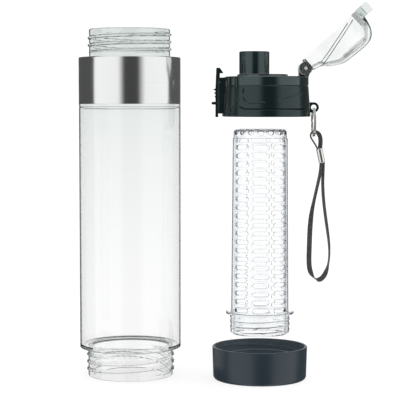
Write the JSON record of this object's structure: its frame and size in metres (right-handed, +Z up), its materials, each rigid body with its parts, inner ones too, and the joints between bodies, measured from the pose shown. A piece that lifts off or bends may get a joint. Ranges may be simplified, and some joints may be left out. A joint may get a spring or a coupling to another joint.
{
  "type": "fruit infuser water bottle",
  "caption": "Clear double-ended bottle with a steel band, taken apart from its flip-top lid with spout, latch and strap, its slotted infuser and its base cap.",
  "frame": {"origin": "centre of the bottle's bottom rim, on the surface it stands on", "axes": "+Z up along the bottle's axis, +X towards the lid, infuser and base cap, +Y away from the viewer"},
  "size_m": [0.2087, 0.0862, 0.2671],
  "materials": {
    "clear_plastic": "clear, polished",
    "brushed_steel": "brushed round the bottle",
    "cap_plastic": "satin",
    "lid_plastic": "soft satin, glossy above the groove",
    "spout_plastic": "polished",
    "silicone": "matte",
    "clear_silicone": "translucent",
    "bright_steel": "nickel plated",
    "webbing": "woven polyester"
  },
  "bodies": {
    "bottle": {"bottle_body": "clear_plastic", "steel_band": "brushed_steel"},
    "base": {"base_cap": "cap_plastic", "base_gasket": "silicone"},
    "infuser": {"infuser_basket": "clear_plastic", "infuser_crown": "clear_plastic"},
    "lid": {"lid_shell": "lid_plastic", "lid_gasket": "silicone", "spout": "spout_plastic", "hinge_pin": "bright_steel", "latch_pin": "bright_steel"},
    "cover": {"flip_cover": "clear_plastic", "spout_seal": "clear_silicone"},
    "rocker": {"latch": "lid_plastic", "latch_spring": "bright_steel"},
    "ring": {"strap_ring": "bright_steel"},
    "strap": {"strap_loop": "webbing", "strap_ferrule": "bright_steel", "strap_webbing": "webbing"}
  },
  "joints": [
    {"name": "base_cap_turn", "type": "hinge", "parent": "bottle", "child": "base", "pos_m": [0.0925, -0.016, 0.01], "axis": [0, 0, 1], "range_deg": [0, 540]},
    {"name": "infuser_seat", "type": "slide", "parent": "base", "child": "infuser", "axis": [0, 0, 1], "range_m": [-0.0296, 0]},
    {"name": "lid_lift", "type": "slide", "parent": "bottle", "child": "lid", "axis": [0, 0, 1], "range_m": [0, 0.06]},
    {"name": "cover_hinge", "type": "hinge", "parent": "lid", "child": "cover", "pos_m": [0.1248, 0, 0.22], "axis": [0, 1, 0], "range_deg": [-136.7, 0]},
    {"name": "latch_pivot", "type": "hinge", "parent": "lid", "child": "rocker", "pos_m": [0.0642, 0, 0.2102], "axis": [0, 1, 0], "range_deg": [-6, 0], "stiffness_Nm_per_rad": 0.01, "springref_deg": 5.73},
    {"name": "ring_swing", "type": "hinge", "parent": "lid", "child": "ring", "pos_m": [0.13129, 0, 0.1924], "axis": [0, 1, 0], "range_deg": [-80, 0]},
    {"name": "strap_swing", "type": "hinge", "parent": "ring", "child": "strap", "pos_m": [0.13129, 0, 0.17215], "axis": [0, 1, 0], "range_deg": [-60, 0]}
  ]
}
